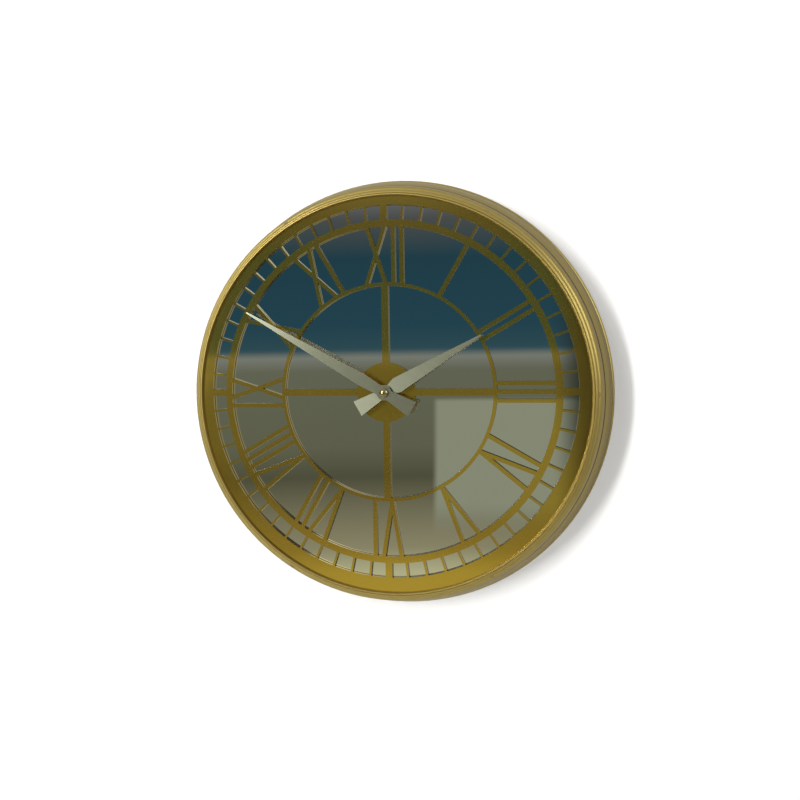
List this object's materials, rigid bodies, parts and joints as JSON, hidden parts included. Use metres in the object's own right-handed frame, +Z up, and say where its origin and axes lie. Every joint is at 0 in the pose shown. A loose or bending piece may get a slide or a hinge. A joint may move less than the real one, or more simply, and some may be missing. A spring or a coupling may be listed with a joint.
{
  "type": "mirror wall clock",
  "caption": "Round mirror wall clock with a gold mirror-acrylic Roman skeleton dial, stepped satin-gold frame, two tapered hands and a quartz movement.",
  "frame": {"origin": "point on the wall behind the hands' axis, in the plane of the frame's back rim", "axes": "+Z up towards twelve o'clock, +Y into the wall, the dial faces -Y, +X to the right seen from the front"},
  "size_m": [0.4012, 0.0523, 0.4012],
  "materials": {
    "frame_gold": "satin gold lacquer on a moulded frame",
    "gold_mirror": "gold mirror acrylic, polished face and frosted cut edge",
    "silver_mirror": "silvered mirror",
    "board": "plain fibreboard",
    "hand_metal": "satin champagne anodised sheet",
    "cap_metal": "polished pale gold plate",
    "brass": "turned brass",
    "steel": "zinc-plated steel",
    "rubber": "matt black",
    "case_plastic": "fine-textured black plastic",
    "gear_plastic": "natural acetal",
    "magnet": "matt ferrite",
    "iron": "annealed soft iron",
    "copper": "enamelled copper wire",
    "pcb": "green solder mask",
    "cell": "plain dark sleeve over steel"
  },
  "bodies": {
    "case": {"frame": "frame_gold", "dial": "gold_mirror", "mirror": "silver_mirror", "backboard": "board", "retaining_screws": "steel", "retaining_clips": "steel", "hanger_plate": "steel", "hanger_screws": "steel", "brass_washer": "brass", "fixing_nut": "brass", "threaded_bush": "brass", "rubber_gasket": "rubber", "front_case": "case_plastic", "rear_cover": "case_plastic", "middle_plate": "gear_plastic", "stator": "iron", "coil_core": "iron", "coil_bobbin": "gear_plastic", "coil_winding": "copper", "circuit_board": "pcb", "quartz_crystal": "steel", "contact_positive": "steel", "contact_negative": "steel", "battery": "cell"},
    "minute": {"minute_pipe": "brass", "minute_hand": "hand_metal", "cap_nut": "cap_metal"},
    "hour": {"hour_wheel": "gear_plastic", "hour_hand": "hand_metal"},
    "setting": {"minute_wheel": "gear_plastic", "setting_knob": "case_plastic"},
    "rotor": {"rotor_pinion": "gear_plastic", "rotor_magnet": "magnet"},
    "fifth": {"fifth_wheel": "gear_plastic"},
    "fourth": {"fourth_wheel": "gear_plastic"},
    "third": {"third_wheel": "gear_plastic"},
    "centre": {"centre_wheel": "gear_plastic"}
  },
  "joints": [
    {"name": "minute_turn", "type": "hinge", "parent": "case", "child": "minute", "pos_m": [0, -0.04, 0], "axis": [0, 1, 0], "continuous": true},
    {"name": "hour_turn", "type": "hinge", "parent": "case", "child": "hour", "pos_m": [0, -0.04, 0], "axis": [0, 1, 0], "continuous": true},
    {"name": "setting_turn", "type": "hinge", "parent": "case", "child": "setting", "pos_m": [0.01159, -0.02, 0.00311], "axis": [0, 1, 0], "continuous": true},
    {"name": "rotor_turn", "type": "hinge", "parent": "case", "child": "rotor", "pos_m": [-0.01217, -0.016, 0.01208], "axis": [0, 1, 0], "continuous": true},
    {"name": "fifth_turn", "type": "hinge", "parent": "case", "child": "fifth", "pos_m": [-0.00779, -0.016, 0.0045], "axis": [0, 1, 0], "continuous": true},
    {"name": "fourth_turn", "type": "hinge", "parent": "case", "child": "fourth", "pos_m": [0, -0.016, 0], "axis": [0, 1, 0], "continuous": true},
    {"name": "third_turn", "type": "hinge", "parent": "case", "child": "third", "pos_m": [0.00264, -0.017, 0.00985], "axis": [0, 1, 0], "continuous": true},
    {"name": "centre_turn", "type": "hinge", "parent": "case", "child": "centre", "pos_m": [0, -0.02, 0], "axis": [0, 1, 0], "continuous": true}
  ],
  "couplings": [
    {"joint": "hour_turn", "follows": "minute_turn", "ratio": 0.083333},
    {"joint": "setting_turn", "follows": "minute_turn", "ratio": -0.33333},
    {"joint": "fifth_turn", "follows": "rotor_turn", "ratio": -0.16667},
    {"joint": "fourth_turn", "follows": "rotor_turn", "ratio": 0.033333},
    {"joint": "third_turn", "follows": "rotor_turn", "ratio": -0.0044444},
    {"joint": "centre_turn", "follows": "rotor_turn", "ratio": 0.00055556}
  ]
}
